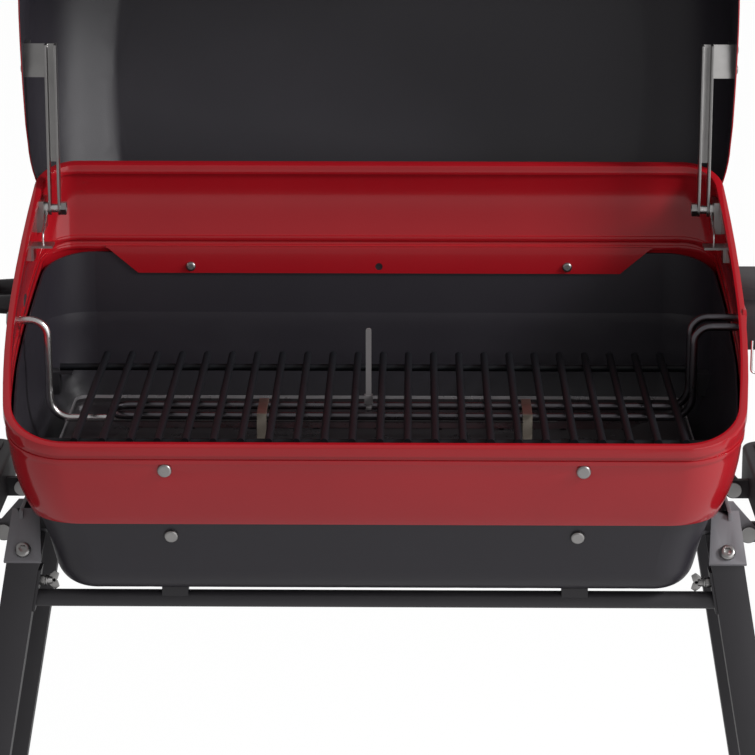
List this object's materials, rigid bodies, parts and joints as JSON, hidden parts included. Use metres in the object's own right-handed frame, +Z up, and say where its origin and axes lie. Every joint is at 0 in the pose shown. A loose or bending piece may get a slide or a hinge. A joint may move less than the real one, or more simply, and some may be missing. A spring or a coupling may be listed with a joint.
{
  "type": "electric barbecue grill",
  "caption": "Free-standing electric barbecue grill with a slant-rimmed red bowl, black liner, wire cooking grate, hairpin heating element, hinged hood and folding side shelves.",
  "frame": {"origin": "middle of the bottom of the bounding box, on the floor under the grill", "axes": "+X to the user's right across the shelves, +Y to the back, +Z up"},
  "size_m": [1.112, 0.455, 1.2748],
  "materials": {
    "black_enamel": "satin enamel",
    "black_paint": "satin",
    "black_plastic": "satin",
    "brass": "satin",
    "bright_steel": "bright sheet",
    "chrome": "bright",
    "element_sheath": "oxidised sheath",
    "grate_steel": "dull steel",
    "nylon": "pale nylon",
    "red_enamel": "gloss enamel",
    "rubber": "matte",
    "shelf_plastic": "fine grain",
    "zinc": "bright zinc"
  },
  "bodies": {
    "grill": {"apron_screws": "zinc", "control_housing": "black_plastic", "cooking_grate": "grate_steel", "crossbar_bolts": "zinc", "crossbar_front": "black_paint", "crossbar_rear": "black_paint", "element_clips": "brass", "element_support_rod": "chrome", "grate_rests_left": "black_paint", "grate_rests_right": "black_paint", "heating_element": "element_sheath", "hinge_bracket_left": "zinc", "hinge_bracket_right": "zinc", "hinge_nuts": "zinc", "hinge_pins": "chrome", "leg_bolts": "zinc", "leg_front_left": "black_paint", "leg_front_right": "black_paint", "leg_rear_left": "black_paint", "leg_rear_right": "black_paint", "liner_screws": "zinc", "pivot_rivets_left": "zinc", "pivot_rivets_right": "zinc", "power_inlet": "black_plastic", "rear_apron": "red_enamel", "reflector_pan": "bright_steel", "rubber_feet": "rubber", "shell_screws": "zinc", "side_frame_left": "black_paint", "side_frame_right": "black_paint", "side_handle_grip": "black_plastic", "side_handle_posts": "black_paint", "stay_wires": "chrome", "stop_bracket_left": "zinc", "stop_bracket_right": "zinc", "stretcher_left": "black_paint", "stretcher_long": "black_paint", "stretcher_right": "black_paint", "support_rod_nut": "zinc", "terminal_plate": "red_enamel", "transport_tie": "nylon", "tub_liner": "black_enamel", "tub_shell": "red_enamel"},
    "hood": {"hood": "red_enamel", "hood_arm_left": "zinc", "hood_arm_right": "zinc", "arm_screws": "zinc", "hood_handle_grip": "black_plastic", "hood_handle_posts": "chrome"},
    "knob": {"control_knob": "black_plastic"},
    "shelf_left": {"shelf_left": "shelf_plastic"},
    "shelf_right": {"shelf_right": "shelf_plastic"}
  },
  "joints": [
    {"name": "hood_hinge", "type": "hinge", "parent": "grill", "child": "hood", "pos_m": [0, 0.08117, 0.902], "axis": [1, 0, 0], "range_deg": [0, 105]},
    {"name": "control_knob", "type": "hinge", "parent": "grill", "child": "knob", "pos_m": [0.352, 0.02717, 0.834], "axis": [1, 0, 0], "range_deg": [0, 270]},
    {"name": "shelf_left_fold", "type": "hinge", "parent": "grill", "child": "shelf_left", "pos_m": [-0.303, -0.05883, 0.677], "axis": [0, -1, 0], "range_deg": [0, 75]},
    {"name": "shelf_right_fold", "type": "hinge", "parent": "grill", "child": "shelf_right", "pos_m": [0.303, -0.05883, 0.677], "axis": [0, 1, 0], "range_deg": [0, 75]}
  ]
}
